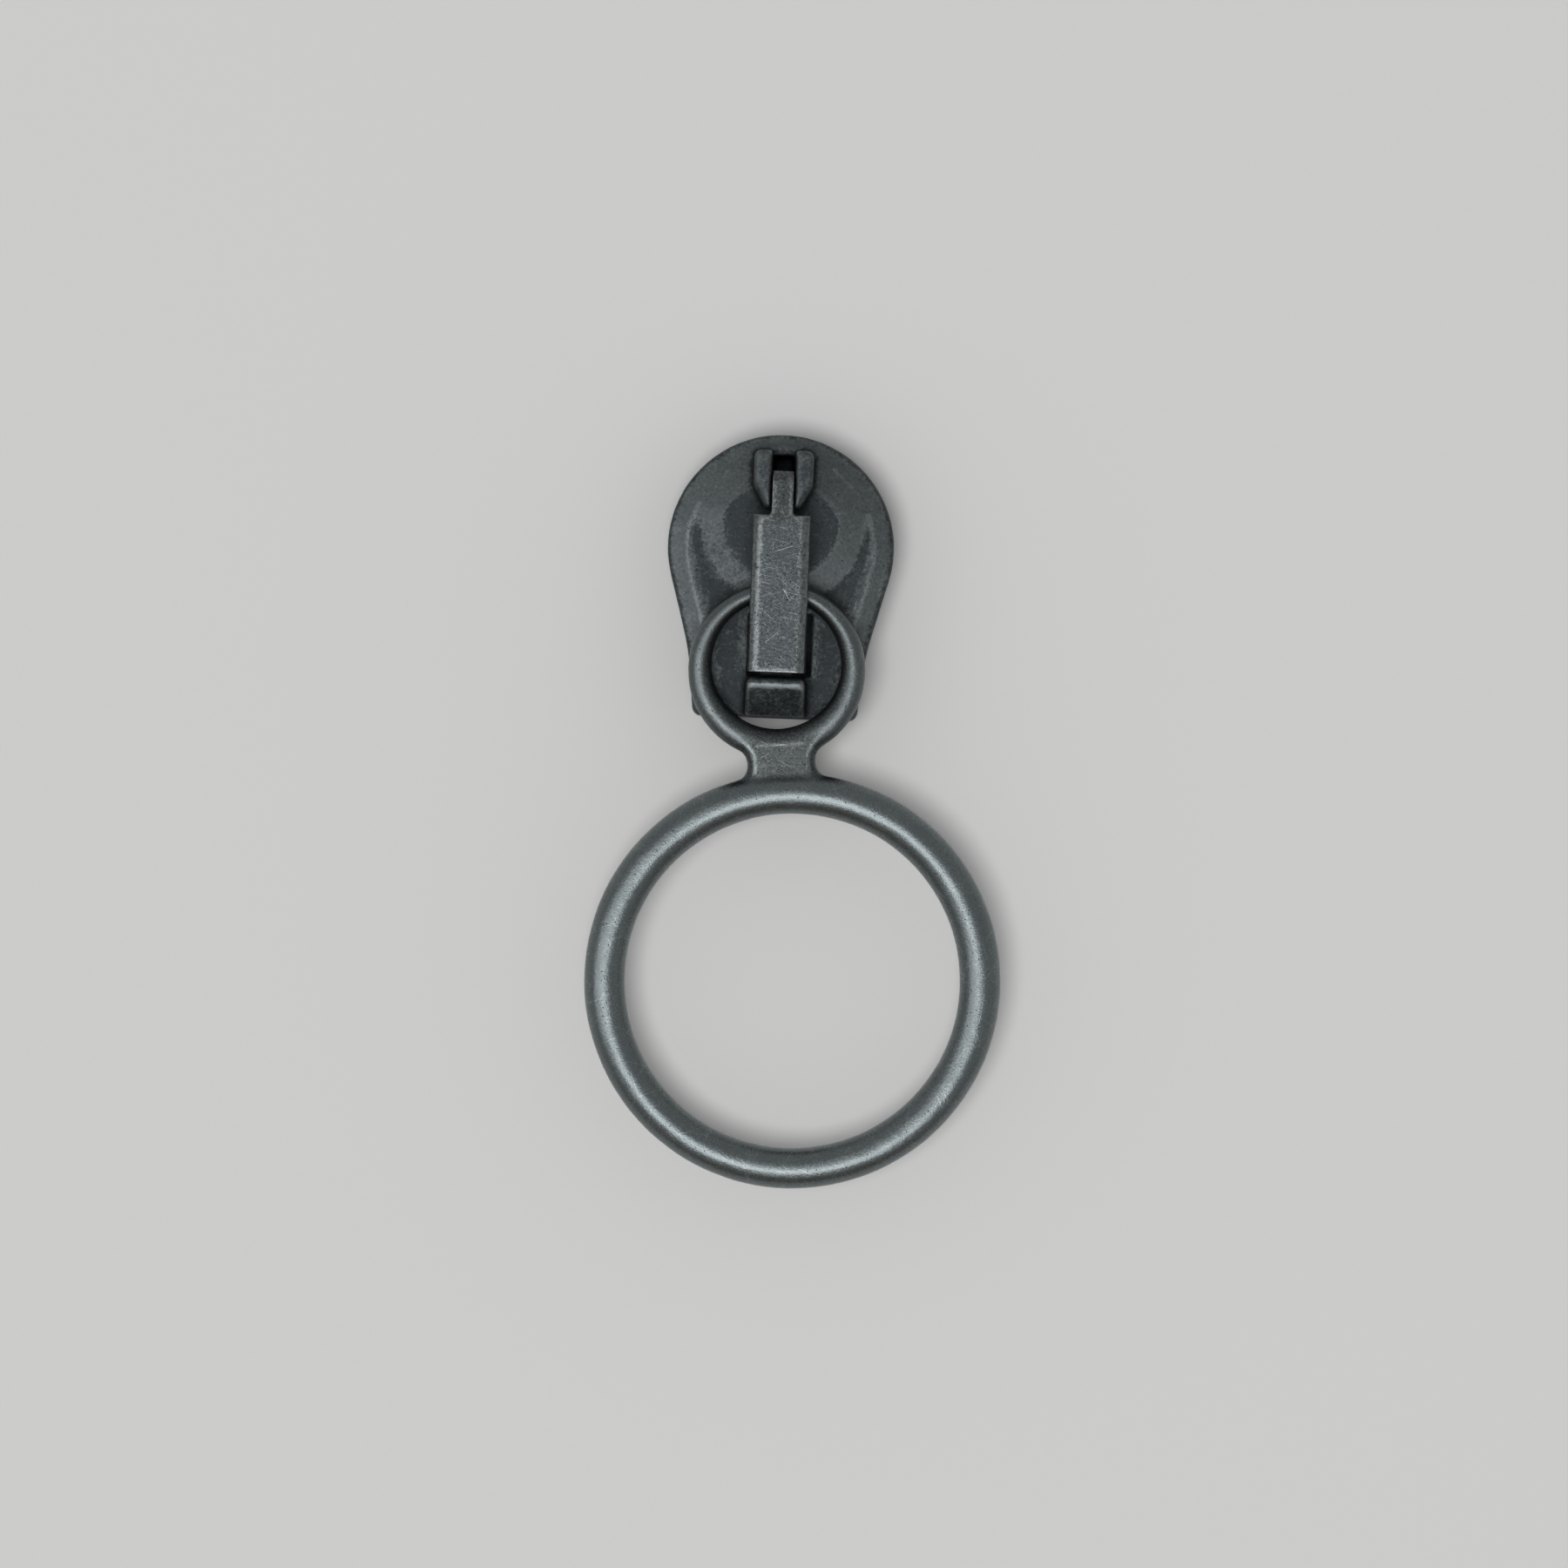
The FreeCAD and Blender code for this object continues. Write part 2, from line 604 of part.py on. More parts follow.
def build_lock_strip():
    body = new_body("lock_strip")
    half = size("strip_width") / 2
    shoulder, sheet_wall = size("strip_shoulder"), size("strip_sheet")

    # Channel section with round shoulders, run from the front shoulder to the rear cut
    section = new_sketch(body, "section", "XZ", -strip_front)
    closed_outline(section, [
        (half, strip_bottom),
        (half, strip_top - shoulder),
        (half - shoulder, strip_top),
        (shoulder - half, strip_top),
        (-half, strip_top - shoulder),
        (-half, strip_bottom),
        (sheet_wall - half, strip_bottom),
        (sheet_wall - half, strip_top - sheet_wall),
        (half - sheet_wall, strip_top - sheet_wall),
        (half - sheet_wall, strip_bottom),
    ], {1: Arc(shoulder, LEFT), 3: Arc(shoulder, LEFT)})
    pad(body, "strip", section, strip_front - strip_rear)

    # Narrow tongue that runs between the ears and turns down into the anchor pocket
    bend, inner_bend = size("tongue_bend"), size("tongue_bend") - sheet_wall
    leg_bottom = strip_top - size("tongue_leg")
    tongue = new_sketch(body, "tongue_side", "YZ")
    closed_outline(tongue, [
        (strip_front - shoulder, strip_top - sheet_wall),
        (tongue_front - bend, strip_top - sheet_wall),
        (tongue_front - sheet_wall, strip_top - bend),
        (tongue_front - sheet_wall, leg_bottom),
        (tongue_front, leg_bottom),
        (tongue_front, strip_top - bend),
        (tongue_front - bend, strip_top),
        (strip_front - shoulder, strip_top),
    ], {1: Arc(inner_bend, RIGHT), 5: Arc(bend, LEFT)})
    pad(body, "tongue", tongue, size("tongue_width"), both_ways=True)
    half_tongue = size("tongue_width") / 2
    round_edges(body, "tongue_roots", size("tongue_root"),
                lambda e: is_upright(e, half_tongue.number, strip_front.number)
                or is_upright(e, -half_tongue.number, strip_front.number), sign=+1)

    # Pawl: the middle of the rear end turns down through the blade into the channel
    back = strip_rear - size("pawl_bulge")
    lean = size("pawl_lean")
    turn = size("pawl_bend")
    tip = channel_roof - size("pawl_bite")
    pawl = new_sketch(body, "pawl_side", "YZ")
    closed_outline(pawl, [
        (back + lean, tip),
        (back + lean + sheet_wall, tip),
        (back + sheet_wall, strip_top - turn),
        (back + turn, strip_top - sheet_wall),
        (back + turn + shoulder, strip_top - sheet_wall),
        (back + turn + shoulder, strip_top),
        (back + turn, strip_top),
        (back, strip_top - turn),
    ], {2: Arc(turn - sheet_wall, RIGHT), 6: Arc(turn, LEFT)})
    pad(body, "pawl", pawl, size("pawl_width"), both_ways=True)
    return body


def build_ring_puller():
    """Drawn flat with the small hole's centre at the origin and the large ring at -Y."""
    body = new_body("ring_puller")
    small, big = eye_outer, size("ring_outer") - size("ring_overlap")
    fillet = size("neck_fillet")
    small_y, big_y = -eye_shift, -ring_distance
    between = small_y - big_y
    near, far = small + fillet, big + fillet
    along = (between * between + near * near - far * far) / (between * 2)
    across = sqrt(near * near - along * along)
    leave = (across * small / near, small_y - along * small / near)
    meet = (across * big / far, big_y + (between - along) * big / far)
    buried = big_y + size("ring_outer") - size("ring_wire") / 2

    # Small ring and neck in one profile, with the hollow curves on both sides of the neck
    profile = new_sketch(body, "eye_and_neck", "XY")
    buried_x = meet[0] * (ring_centreline / big)
    closed_outline(profile, [
        leave, (-leave[0], leave[1]), (-meet[0], meet[1]),
        (-buried_x, buried), (buried_x, buried), meet,
    ], {0: Arc(small, LEFT, large=True), 1: Arc(fillet, RIGHT), 5: Arc(fillet, RIGHT)})
    circle(profile, 0, 0, size("eye_hole"))
    pad(body, "eye", profile, size("eye_thickness"), both_ways=True)
    half = size("eye_thickness") / 2
    bevel_edges(body, "eye_bevel", size("eye_bevel"),
                lambda e: (is_level(e, half.number) or is_level(e, -half.number))
                and e.Curve.TypeId == "Part::GeomCircle")

    # The large ring is a round wire
    wire = new_sketch(body, "ring_wire", "XZ", -big_y)
    circle(wire, ring_centreline, 0, size("ring_wire") / 2)
    ring = body.newObject("PartDesign::Revolution", "large_ring")
    ring.Profile = wire
    ring.ReferenceAxis = (wire, ["V_Axis"])
    ring.Angle = 360.0
    finish_feature(body, ring, +1)

    # Lay it down: swung to the side in its own plane, then tilted on to the tail
    tilt = math.asin(tilt_sine.number)
    hole_y = wire_y.number - hole_from_wire.number * math.cos(tilt)
    hole_z = wire_z.number - hole_from_wire.number * tilt_sine.number
    swing = FreeCAD.Rotation(FreeCAD.Vector(0, 0, 1), size("swing_at_rest").number)
    lay = FreeCAD.Rotation(FreeCAD.Vector(1, 0, 0), math.degrees(tilt))
    body.Placement = FreeCAD.Placement(FreeCAD.Vector(0, hole_y, hole_z), lay * swing)
    return body


def check_document(bodies):
    for thing in doc.Objects:
        if "Invalid" in thing.State or "Error" in thing.State:
            raise ValueError(f"{thing.Name} did not compute: {thing.State}")
    for body in bodies:
        shape = body.Shape
        if shape.isNull() or not shape.isValid() or len(shape.Solids) != 1:
            raise ValueError(f"{body.Label} is not one valid solid")


bodies = [build_slider_body(), build_lock_strip(), build_ring_puller()]
doc.recompute()
check_document(bodies)
os.makedirs("parts", exist_ok=True)
for body in bodies:
    body.Shape.exportStep(f"parts/{body.Label}.step")
    box = body.Shape.optimalBoundingBox(False, False)
    print(f"{body.Label}: volume {body.Shape.Volume:.2f}, "
          f"x {box.XMin:.3f} to {box.XMax:.3f}, y {box.YMin:.3f} to {box.YMax:.3f}, "
          f"z {box.ZMin:.3f} to {box.ZMax:.3f}")
print(f"trapped wire at y {wire_y.number:.4f}, z {wire_z.number:.4f}, "
      f"tilt {math.degrees(math.asin(tilt_sine.number)):.3f} degrees")
print(f"strip from z {strip_bottom.number:.3f} to {strip_top.number:.3f}, "
      f"y {strip_rear.number:.3f} to {tongue_front.number:.3f}")
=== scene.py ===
# %% [markdown]
# # A zip slider with a ring puller
# The object is a small die-cast zip slider with an antique gunmetal finish, 36 mm long with
# its puller. It has three pieces: the cast body that runs on the chain, a spring steel strip
# that locks it, and a cast puller with two rings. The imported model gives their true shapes
# and places. This lesson gives them the look of tumbled, blackened metal.
#
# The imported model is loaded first, because every piece takes its place from it.

import math

import bmesh
import bpy
import numpy as np
from mathutils import Matrix, Vector, noise


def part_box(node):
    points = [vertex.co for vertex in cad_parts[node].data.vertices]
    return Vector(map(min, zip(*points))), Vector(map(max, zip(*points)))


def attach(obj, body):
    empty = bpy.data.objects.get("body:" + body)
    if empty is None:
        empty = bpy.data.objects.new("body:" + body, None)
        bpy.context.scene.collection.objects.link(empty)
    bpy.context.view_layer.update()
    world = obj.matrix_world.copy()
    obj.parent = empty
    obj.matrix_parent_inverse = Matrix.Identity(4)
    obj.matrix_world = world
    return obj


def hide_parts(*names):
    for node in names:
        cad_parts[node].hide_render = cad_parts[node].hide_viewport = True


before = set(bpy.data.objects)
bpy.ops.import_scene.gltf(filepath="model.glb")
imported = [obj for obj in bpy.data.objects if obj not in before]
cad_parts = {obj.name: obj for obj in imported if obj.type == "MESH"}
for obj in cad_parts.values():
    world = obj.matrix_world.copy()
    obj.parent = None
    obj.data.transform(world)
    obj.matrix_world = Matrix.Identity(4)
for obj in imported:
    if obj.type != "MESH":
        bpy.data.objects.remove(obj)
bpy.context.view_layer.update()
for node in ("slider_body", "lock_strip", "ring_puller"):
    low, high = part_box(node)
    print(node, "from", [round(1000 * v, 2) for v in low], "to", [round(1000 * v, 2) for v in high])

# %% [markdown]
# ## The camera
# The photograph is taken from straight above, and the slider lies a little turned in it. A
# camera with a long lens stands 0.6 m over the middle of the picture. Its picture is
# 75.78 mm wide at the level of the upper blade, and it is rolled by 2.2 degrees, so that
# nothing of the object has to move. A long lens was chosen because the photograph shows
# almost none of the body's upright sides.

# %% Make the camera
MM = 0.001
PICTURE_WIDTH = 75.78 * MM
CAMERA_HEIGHT = 0.6
BLADE_LEVEL = 4.7 * MM
PICTURE_MIDDLE = Vector((0.587, -10.01, 0)) * MM
CAMERA_ROLL = math.radians(2.2)
SENSOR_WIDTH = 36.0

scene = bpy.context.scene
lens = bpy.data.cameras.new("long_lens")
lens.sensor_width = SENSOR_WIDTH
lens.lens = SENSOR_WIDTH * CAMERA_HEIGHT / PICTURE_WIDTH
lens.clip_start, lens.clip_end = 0.01, 10
camera = bpy.data.objects.new("camera", lens)
camera.location = PICTURE_MIDDLE + Vector((0, 0, BLADE_LEVEL + CAMERA_HEIGHT))
camera.rotation_euler = (0, 0, CAMERA_ROLL)
scene.collection.objects.link(camera)
scene.camera = camera
scene.view_settings.view_transform = "Standard"
print("lens", round(lens.lens, 1), "mm")

# %% [markdown]
# ## The light
# Polished metal shows a lamp where its surface faces halfway between the lamp and the
# camera. The wire of the large ring faces every way, so its brightness tells what stands
# where: a bright soft box 22 degrees below the picture and a weaker, deeper one 32 degrees
# to the left.
#
# The shadow tells of a third lamp. It lies half a millimetre to the upper right of the
# ring and blurs over a little more than that, and the ring lies 4.7 mm above the floor. So
# a round lamp stands nearly overhead, 7 degrees to the lower left, and it looks 18 degrees
# wide. It would blind the level faces, so reflections leave it out. Together with the room
# it lights the floor at a level of 1, at which a colour shows as it is written.

# %% Hang the lamps
LAMP_DISTANCE = 1.2
SOFTBOXES = {  # degrees below and left of the middle, half width, half depth, radiance
    "lower_softbox": (22, 1.5, 16, 12.5, 4.6),
    "left_softbox": (5, 32, 14, 25, 1.75),
}
OVERHEAD_SOUTH, OVERHEAD_WEST, OVERHEAD_HALF_WIDTH = 5.2, 5.2, 9
ROOM_LEVEL = 0.451


def hang_lamp(name, shape, south, west, half_width, half_depth):
    """An area lamp turned to the object. All angles are in degrees: how far it stands to the
    bottom and left of the picture, and how far it reaches from its middle."""
    data = bpy.data.lights.new(name, "AREA")
    data.shape = shape
    data.size = 2 * LAMP_DISTANCE * math.tan(math.radians(half_width))
    data.size_y = 2 * LAMP_DISTANCE * math.tan(math.radians(half_depth))
    lamp = bpy.data.objects.new(name, data)
    to_left, to_bottom = math.tan(math.radians(west)), math.tan(math.radians(south))
    away = Vector((-to_left, -to_bottom, 1)).normalized()
    lamp.location = PICTURE_MIDDLE + away * LAMP_DISTANCE
    lamp.rotation_euler = away.to_track_quat("Z", "Y").to_euler()
    scene.collection.objects.link(lamp)
    return lamp


for name, (*placing, radiance) in SOFTBOXES.items():
    softbox = hang_lamp(name, "RECTANGLE", *placing)
    softbox.data.energy = radiance * math.pi * softbox.data.size * softbox.data.size_y
    softbox.visible_diffuse = False
    print(name, round(softbox.data.energy, 1), "W")

overhead = hang_lamp("overhead", "DISK", OVERHEAD_SOUTH, OVERHEAD_WEST,
                     OVERHEAD_HALF_WIDTH, OVERHEAD_HALF_WIDTH)
overhead.data.energy = (1 - ROOM_LEVEL) * (math.pi * LAMP_DISTANCE) ** 2
overhead.visible_glossy = False
print("overhead", round(overhead.data.energy, 1), "W")

# %% [markdown]
# The rest of the room is even and dim. Only low down below the picture it is darker and
# browner, where the wire has its dark line. So the world's colour follows how far a
# direction points away from that shade: 0 is into the shade and 1 is straight away from it.

# %% Make the dim room
SHADE_COLOR, ROOM_COLOR = (0.21, 0.185, 0.145, 1), (0.465, 0.47, 0.475, 1)
SHADE_END, ROOM_START = 0.2, 0.45
FROM_SHADE = (0, 0.8, 0.6)

room = bpy.data.worlds.new("dim_room")
room.use_nodes = True
sky = room.node_tree
direction = sky.nodes.new("ShaderNodeTexCoord").outputs["Generated"]
along_axis = sky.nodes.new("ShaderNodeVectorMath")
along_axis.operation = "DOT_PRODUCT"
along_axis.inputs[1].default_value = FROM_SHADE
sky.links.new(direction, along_axis.inputs[0])
away_from_shade = sky.nodes.new("ShaderNodeMath")
away_from_shade.operation = "MULTIPLY_ADD"
away_from_shade.inputs[1].default_value = 0.5
away_from_shade.inputs[2].default_value = 0.5
sky.links.new(along_axis.outputs["Value"], away_from_shade.inputs[0])
tones = sky.nodes.new("ShaderNodeValToRGB")
for step, position, color in zip(tones.color_ramp.elements, (SHADE_END, ROOM_START),
                                 (SHADE_COLOR, ROOM_COLOR)):
    step.position, step.color = position, color
sky.links.new(away_from_shade.outputs["Value"], tones.inputs["Fac"])
sky.links.new(tones.outputs["Color"], sky.nodes["Background"].inputs["Color"])
scene.world = room
print("room", room.name)

# %% [markdown]
# ## The floor
# The slider lies on plain pale grey card. A square of mesh is enough for it. It isn't part
# of the object.

# %% Make the floor
FLOOR_HALF = 1.5
FLOOR_GREY = (0.612, 0.612, 0.604, 1)


def new_material(name, color, roughness, metallic):
    """A material whose Principled shader is set, and that shader."""
    material = bpy.data.materials.new(name)
    material.use_nodes = True
    shader = material.node_tree.nodes["Principled BSDF"]
    shader.inputs["Base Color"].default_value = color
    shader.inputs["Roughness"].default_value = roughness
    shader.inputs["Metallic"].default_value = metallic
    return material, shader


card = bmesh.new()
corners = [card.verts.new((x * FLOOR_HALF, y * FLOOR_HALF, 0))
           for x, y in ((-1, -1), (1, -1), (1, 1), (-1, 1))]
card.faces.new(corners)
floor_mesh = bpy.data.meshes.new("floor")
card.to_mesh(floor_mesh)
card.free()
floor = bpy.data.objects.new("floor", floor_mesh)
scene.collection.objects.link(floor)
floor_material, floor_shader = new_material("pale_card", FLOOR_GREY, 0.9, 0.0)
floor_shader.inputs["Specular IOR Level"].default_value = 0.0
floor_mesh.materials.append(floor_material)
print("floor", 2 * FLOOR_HALF, "m square")

# %% [markdown]
# ## Soft edges
# The castings are tumbled with small stones before they are plated, so no edge on them is
# sharp. A bevel modifier would stumble over the thousands of thin triangles of a packed
# model. Instead a copy of the piece is cut into small even cells with the Remesh modifier
# and its surface is relaxed: each vertex moves towards the mean of its neighbours, which
# rounds the edges and leaves flats and curves as they are.
#
# The modifier makes no cells under 0.0001, which is a tenth of a millimetre while the unit
# is the metre. So the copy is worked on in millimetres and made small again at the end.

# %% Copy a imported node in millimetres, in small even cells
def even_copy(node, name, cell):
    """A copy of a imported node, in millimetres, remeshed into cells of that size."""
    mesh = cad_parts[node].data.copy()
    mesh.materials.clear()
    mesh.transform(Matrix.Scale(1 / MM, 4))
    piece = bpy.data.objects.new(name, mesh)
    scene.collection.objects.link(piece)
    remesh = piece.modifiers.new("even_cells", "REMESH")
    remesh.mode = "VOXEL"
    remesh.voxel_size = cell
    remesh.use_smooth_shade = True
    shown = piece.evaluated_get(bpy.context.evaluated_depsgraph_get())
    even = bpy.data.meshes.new_from_object(shown)
    piece.modifiers.clear()
    piece.data = even
    even.name = name
    print(name, len(even.polygons), "cells")
    return piece


# %% [markdown]
# The relaxing and the measuring below work on all vertices at once with numpy, because the
# castings have tens of thousands of them.

# %% Relax a surface and measure it
def neighbour_mean(values, edges):
    """For each vertex, the mean of the values at the vertices it shares an edge with."""
    a, b = edges[:, 0], edges[:, 1]
    count = len(values)
    total = np.stack([np.bincount(a, column[b], count) + np.bincount(b, column[a], count)
                      for column in values.T], axis=1)
    share = np.bincount(a, minlength=count) + np.bincount(b, minlength=count)
    return total / share[:, None]


def read_points(mesh):
    points = np.empty(len(mesh.vertices) * 3)
    mesh.vertices.foreach_get("co", points)
    return points.reshape(-1, 3)


def read_normals(mesh):
    normals = np.empty(len(mesh.vertices) * 3)
    mesh.vertex_normals.foreach_get("vector", normals)
    return normals.reshape(-1, 3)


def read_edges(mesh):
    edges = np.empty(len(mesh.edges) * 2, dtype=np.int32)
    mesh.edges.foreach_get("vertices", edges)
    return edges.reshape(-1, 2)


def write_points(mesh, points):
    mesh.vertices.foreach_set("co", np.ascontiguousarray(points).ravel())
    mesh.update()


def relax(mesh, passes, where=1.0):
    """Move every vertex halfway to the mean of its neighbours, that many times. where may
    give each vertex its share of that."""
    points, edges = read_points(mesh), read_edges(mesh)
    for _ in range(passes):
        points = points + (neighbour_mean(points, edges) - points) * 0.5 * where
    write_points(mesh, points)


# %% [markdown]
# No cast face is quite flat. Blender's noise moves each vertex along its normal by up to a
# hundredth of a millimetre, in broad waves with finer ones on them, so that reflections
# wander a little as they do on the real metal. No vertex leaves the box of its piece.

# %% Add the unevenness of a casting
def add_waves(mesh, size, height, offset):
    """Broad noise waves of that size and height in millimetres. offset picks other noise."""
    points, normals = read_points(mesh), read_normals(mesh)
    shift = Vector((offset, offset, offset))
    waves = np.array([noise.fractal(Vector(p) / size + shift, 1.0, 2.0, 3) for p in points])
    moved = points + normals * (waves * height)[:, None]
    write_points(mesh, np.clip(moved, points.min(axis=0), points.max(axis=0)))


# %% [markdown]
# ## Where the finish is rubbed off
# The finish is black in the corners and worn bright on the edges. To let a material find
# those places, each vertex gets a number called crest: how far it stands out from the
# surface round it, in hundredths of a millimetre. It is positive on edges and negative in
# inner corners. It could be taken from the Geometry node's Pointiness, but a number made
# here is the same at every size of mesh.

# %% Store crest on the vertices
CREST_UNIT = 0.01


def write_attribute(mesh, name, values):
    attribute = mesh.attributes.new(name, "FLOAT", "POINT")
    attribute.data.foreach_set("value", np.ascontiguousarray(values, dtype=np.float32))


def blur(values, edges, passes):
    """Move each vertex's values halfway to the mean of its neighbours, that many times."""
    for _ in range(passes):
        values = (values + neighbour_mean(values, edges)) / 2
    return values


def measure_crest(mesh, name, passes, blur_passes):
    """Store how far each vertex stands out from the mean surface round it. More passes look
    further round."""
    points, normals, edges = read_points(mesh), read_normals(mesh), read_edges(mesh)
    mean = blur(points, edges, passes)
    crest = ((points - mean) * normals).sum(axis=1)[:, None] / CREST_UNIT
    crest = blur(crest, edges, blur_passes)[:, 0]
    write_attribute(mesh, name, crest)
    print(mesh.name, name, round(float(crest.min()), 2), "to", round(float(crest.max()), 2))
    return crest


# %% [markdown]
# The finish also differs from place to place. Three small functions turn a measure, such as
# the height of each vertex, into a share between 0 and 1 with soft borders.

# %% Soft masks
def fade_in(values, start, width):
    """0 up to start, then rising to 1 over that width."""
    return np.clip((values - start) / width, 0, 1)


def fade_out(values, end, width):
    """1 at first, then falling over that width to 0 at end."""
    return np.clip((end - values) / width, 0, 1)


def bell(values, middle, width):
    """1 at the middle, fading to both sides."""
    return np.exp(-((values - middle) / width) ** 2)


# %% [markdown]
# ## The slider casting
# The body is two pear-shaped blades on a post, with the chain's channel between them. On
# top are the raised disc, the two ears that guide the strip and the lug at the tail. It
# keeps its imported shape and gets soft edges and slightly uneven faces. The ears and the lug
# stand up into the tumbling stones, so they are rounded more, and so is the upper blade
# beside the strip.

# %% Make the slider casting
CASTING_CELL = 0.085
RIM_FOOT, RIM_RIDGE, BLADE_FLAT, DISC_TOP = 4.2, 4.67, 4.7, 5.05
LUGS_START, BESIDE_STRIP, BORDER = 5.35, 1.75, 0.4
ABOVE_DISC = DISC_TOP + 0.1

casting = even_copy("slider_body", "slider_casting", CASTING_CELL)
relax(casting.data, 3)
points = read_points(casting.data)
on_lugs = fade_in(points[:, 2], LUGS_START, BORDER)
relax(casting.data, 7, on_lugs[:, None])
on_blade = ((points[:, 2] > RIM_FOOT) & (points[:, 2] < ABOVE_DISC)
            ) * fade_in(np.abs(points[:, 0]), BESIDE_STRIP, BORDER)
relax(casting.data, 14, on_blade[:, None])
print("rounded more:", int((on_lugs > 0.5).sum() + (on_blade > 0.5).sum()), "vertices")

# %% [markdown]
# The lug at the tail has a tight crown just behind its front edge. Its top is cut down to a
# round there that runs on as a straight slope. The mould's parting line lies along the
# crown, and the stones have rubbed that line rough and bright, and the side edges half as
# much. The bright line also holds the crown's highlight, painted on, and the whole lug is
# made a little paler. An attribute tells the finish so.

# %% Shape the crown of the lug
LUG_CREST, LUG_TOP, LUG_FOOT, LUG_HALF = -5.16, 6.72, 5.0, 1.3
CROWN_RADIUS, ROUND_REACH = 0.5, 0.35
LINE_BEHIND, LINE_WIDTH, LINE_DEPTH, EDGE_WIDTH = 0.15, 0.14, 0.35, 0.12
EDGE_SHARE, LUG_SHARE = 0.5, 0.3


def crown_drop(behind):
    """How far the lug's top lies under its crest, that far behind it."""
    rise = math.sqrt(CROWN_RADIUS ** 2 - ROUND_REACH ** 2)
    on_round = CROWN_RADIUS - np.sqrt(np.maximum(CROWN_RADIUS ** 2 - behind ** 2, 0))
    on_slope = CROWN_RADIUS - rise + (behind - ROUND_REACH) * ROUND_REACH / rise
    return np.where(behind < ROUND_REACH, on_round, on_slope)


points = read_points(casting.data)
behind, sideways = LUG_CREST - points[:, 1], np.abs(points[:, 0])
on_lug = (behind > 0) & (sideways < LUG_HALF + 0.3) & (points[:, 2] > LUG_FOOT)
cut_down = np.minimum(points[:, 2], LUG_TOP - crown_drop(behind))
points[:, 2] = np.where(on_lug, cut_down, points[:, 2])
write_points(casting.data, points)
relax(casting.data, 2, on_lug[:, None])

# The crown's bright line is worn and also holds a painted highlight.
parting_line_and_highlight = bell(behind, LINE_BEHIND, LINE_WIDTH) * (points[:, 2] > LUG_TOP - LINE_DEPTH)
side_edges = EDGE_SHARE * bell(sideways, LUG_HALF, EDGE_WIDTH)
lug_wear_and_highlight = on_lug * np.maximum(np.maximum(parting_line_and_highlight, side_edges), LUG_SHARE)
write_attribute(casting.data, "lug_wear_and_highlight", lug_wear_and_highlight)
print("lug", int(on_lug.sum()), "vertices")

# %% [markdown]
# The stones also rub the upper blade's gentle ridges and slopes paler than its level faces.
# A second crest, measured over a wider patch, finds the ridges. The slopes are found by
# their normals, which lean between 10 and 22 degrees, and are rubbed more beside the ears
# than further back. Their paleness is partly painted light: strongest on the left rim,
# which faces the light, and stronger on the right than on the left. The line where the
# level face turns down to the rim is rubbed as well.

# %% Find what the stones have rubbed and where light is painted
SLOPE_LOW, SLOPE_HIGH = math.cos(math.radians(10)), math.cos(math.radians(22))
SLOPE_FOOT, SLOPE_BLUR = BLADE_FLAT - 0.38, 12
LEFT_RIM_LIGHT_SHARE, RIGHT_LIGHT_SHARE, LEFT_LIGHT_SHARE, EARS_SHARE = 1.5, 1.2, 0.72, 0.7
EARS_REAR, EARS_FRONT, EARS_SIDE = 2.2, 5.6, 1.6
RIM_LINE_WIDTH = 0.04

add_waves(casting.data, 1.6, 0.012, 3.0)
measure_crest(casting.data, "crest", 8, 1)
wide_crest = measure_crest(casting.data, "wide_crest", 45, 2)

points, lean = read_points(casting.data), read_normals(casting.data)[:, 2]
across, along, height = points.T
slopes = (lean < SLOPE_LOW) & (lean > SLOPE_HIGH) & (height > SLOPE_FOOT) & (height < ABOVE_DISC)
slope_wear_and_light = blur(slopes.astype(float)[:, None], read_edges(casting.data), SLOPE_BLUR)[:, 0]
# Painted light: the left rim, which faces the light, gets the most, and the right side more than
# the left.
share = np.where(across > 0, RIGHT_LIGHT_SHARE, LEFT_LIGHT_SHARE)
share = np.where((across < 0) & (height < RIM_RIDGE), LEFT_RIM_LIGHT_SHARE, share)
beside_ears = (fade_in(along, EARS_REAR, 1.2) * fade_out(along, EARS_FRONT, 0.8)
               * fade_in(np.abs(across), EARS_SIDE, 0.5))
write_attribute(casting.data, "slope_wear_and_light", slope_wear_and_light * share * (1 + EARS_SHARE * beside_ears))
rim_line = bell(height, RIM_RIDGE, RIM_LINE_WIDTH) * (wide_crest > 0.3) * (lean > 0.9)
write_attribute(casting.data, "rim_line", rim_line)
print("open slopes on", int((slope_wear_and_light > 0.5).sum()), "vertices")

# %% [markdown]
# ## The lock strip
# The strip is stamped from spring steel and bent into a shallow channel. A narrow tongue
# at its front lies between the ears, and a pawl at its rear turns down through the blade
# and catches the chain. The cut edges keep a small burr, so it gets finer cells and is
# relaxed less than the castings. The tongue between the ears gets painted shade, which
# keeps it darker.

# %% Make the lock strip
STRIP_CELL = 0.05
TONGUE_START, TONGUE_SHADE_SHARE = 2.3, 0.5

strip = even_copy("lock_strip", "spring_strip", STRIP_CELL)
relax(strip.data, 2)
add_waves(strip.data, 2.2, 0.006, 11.0)
measure_crest(strip.data, "crest", 8, 1)
measure_crest(strip.data, "wide_crest", 60, 2)
# Painted shade on the tongue between the ears.
tongue_shade = fade_in(read_points(strip.data)[:, 1], TONGUE_START, 0.5)
write_attribute(strip.data, "painted_shade", TONGUE_SHADE_SHARE * tongue_shade)

# %% [markdown]
# ## The ring puller
# The puller is one casting: a small ring that the strip holds down, a short flat neck, and
# a large ring of round wire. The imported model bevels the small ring's edges. The real one
# is rounder: its section is a full oval that is narrow at the front and wide at the neck,
# because the ring's outside is a circle whose middle lies a little nearer to the neck.
#
# The code turns each vertex into the puller's own plane, finds its place in the section of
# the small ring and moves it on to that oval, along the line from the oval's middle. The
# neck's flat top stays as it is.

